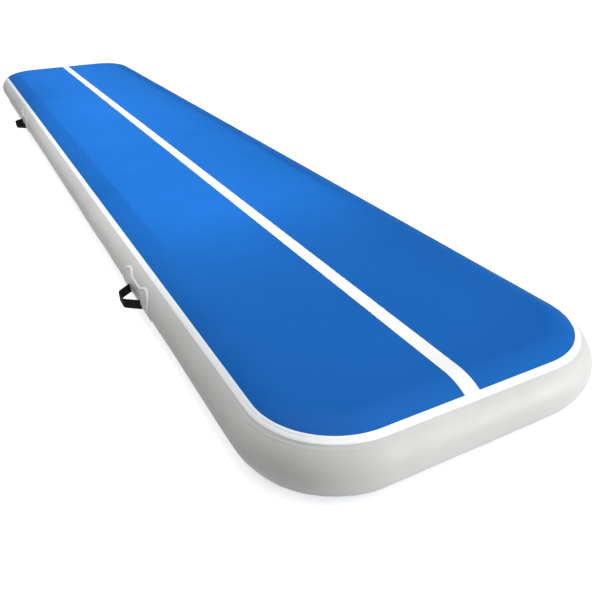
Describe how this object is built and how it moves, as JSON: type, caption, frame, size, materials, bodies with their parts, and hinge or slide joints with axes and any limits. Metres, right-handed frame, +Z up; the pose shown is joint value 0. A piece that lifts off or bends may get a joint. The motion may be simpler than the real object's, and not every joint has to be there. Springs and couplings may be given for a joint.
{
  "type": "air track mat",
  "caption": "Long inflated tumbling mat with a rounded edge, a flat blue top with a centre stripe, webbing carry handles and an end valve.",
  "frame": {"origin": "centre of the underside, on the floor", "axes": "+X along the mat to the end with the valve, +Y to the left wall, +Z up"},
  "size_m": [5.019, 1.0964, 0.2008],
  "materials": {
    "pvc_blue": "satin",
    "pvc_white": "satin",
    "base_cloth": "matte",
    "webbing_black": "matte",
    "valve_plastic": "satin",
    "rubber_black": "matte",
    "spring_steel": "satin"
  },
  "bodies": {
    "mat": {"top_sheet": "pvc_blue", "bottom_sheet": "pvc_blue", "drop_stitch_core": "base_cloth", "centre_stripe": "pvc_white", "outer_sidewall": "pvc_white", "inner_sidewall": "pvc_white", "top_seam_tape": "pvc_white", "bottom_seam_tape": "pvc_white", "top_inner_tape": "pvc_white", "bottom_inner_tape": "pvc_white", "valve_panel": "pvc_white", "left_lap_strip": "pvc_white", "right_lap_strip": "pvc_white", "valve_pad": "pvc_white", "valve_gasket": "rubber_black", "valve_nut": "valve_plastic", "valve_housing": "valve_plastic", "valve_spring": "spring_steel", "valve_tether_ring": "valve_plastic", "valve_tether_strap": "valve_plastic", "left_near_handle_strap_root_a": "webbing_black", "left_near_handle_strap_root_b": "webbing_black", "left_near_handle_strap_tail_a": "webbing_black", "left_near_handle_strap_tail_b": "webbing_black", "left_near_handle_patch": "pvc_white", "right_near_handle_strap_root_a": "webbing_black", "right_near_handle_strap_root_b": "webbing_black", "right_near_handle_strap_tail_a": "webbing_black", "right_near_handle_strap_tail_b": "webbing_black", "right_near_handle_patch": "pvc_white", "left_far_handle_strap_root_a": "webbing_black", "left_far_handle_strap_root_b": "webbing_black", "left_far_handle_strap_tail_a": "webbing_black", "left_far_handle_strap_tail_b": "webbing_black", "left_far_handle_patch": "pvc_white", "right_far_handle_strap_root_a": "webbing_black", "right_far_handle_strap_root_b": "webbing_black", "right_far_handle_strap_tail_a": "webbing_black", "right_far_handle_strap_tail_b": "webbing_black", "right_far_handle_patch": "pvc_white"},
    "left_near_handle": {"left_near_handle_strap_loop": "webbing_black"},
    "right_near_handle": {"right_near_handle_strap_loop": "webbing_black"},
    "left_far_handle": {"left_far_handle_strap_loop": "webbing_black"},
    "right_far_handle": {"right_far_handle_strap_loop": "webbing_black"},
    "valve_cap_carrier": {"valve_cap_ring": "valve_plastic"},
    "valve_cap": {"valve_cap": "valve_plastic", "valve_cap_o_ring": "rubber_black"},
    "valve_plunger": {"valve_spring_washer": "valve_plastic"},
    "valve_stem": {"valve_stem": "valve_plastic", "valve_seal_disc": "rubber_black"}
  },
  "joints": [
    {"name": "left_near_handle_swing", "type": "hinge", "parent": "mat", "child": "left_near_handle", "pos_m": [-1.452, 0.506, 0.09], "axis": [1, 0, 0], "range_deg": [-50, 50], "deforming": ["left_near_handle_strap_root_a", "left_near_handle_strap_root_b"]},
    {"name": "right_near_handle_swing", "type": "hinge", "parent": "mat", "child": "right_near_handle", "pos_m": [-1.452, -0.506, 0.09], "axis": [-1, 0, 0], "range_deg": [-50, 50], "deforming": ["right_near_handle_strap_root_a", "right_near_handle_strap_root_b"]},
    {"name": "left_far_handle_swing", "type": "hinge", "parent": "mat", "child": "left_far_handle", "pos_m": [1.11, 0.506, 0.09], "axis": [1, 0, 0], "range_deg": [-50, 50], "deforming": ["left_far_handle_strap_root_a", "left_far_handle_strap_root_b"]},
    {"name": "right_far_handle_swing", "type": "hinge", "parent": "mat", "child": "right_far_handle", "pos_m": [1.11, -0.506, 0.09], "axis": [-1, 0, 0], "range_deg": [-50, 50], "deforming": ["right_far_handle_strap_root_a", "right_far_handle_strap_root_b"]},
    {"name": "cap_pull", "type": "slide", "parent": "mat", "child": "valve_cap_carrier", "axis": [1, 0, 0], "range_m": [0, 0.02], "deforming": ["valve_tether_strap"]},
    {"name": "cap_turn", "type": "hinge", "parent": "valve_cap_carrier", "child": "valve_cap", "pos_m": [2.5, 0, 0.1], "axis": [1, 0, 0], "range_deg": [0, 90]},
    {"name": "plunger_press", "type": "slide", "parent": "mat", "child": "valve_plunger", "axis": [-1, 0, 0], "range_m": [0, 0.004], "stiffness_N_per_m": 400, "springref_m": -0.004, "deforming": ["valve_spring"]},
    {"name": "stem_turn", "type": "hinge", "parent": "valve_plunger", "child": "valve_stem", "pos_m": [2.5, 0, 0.1], "axis": [1, 0, 0], "range_deg": [0, 90]}
  ]
}
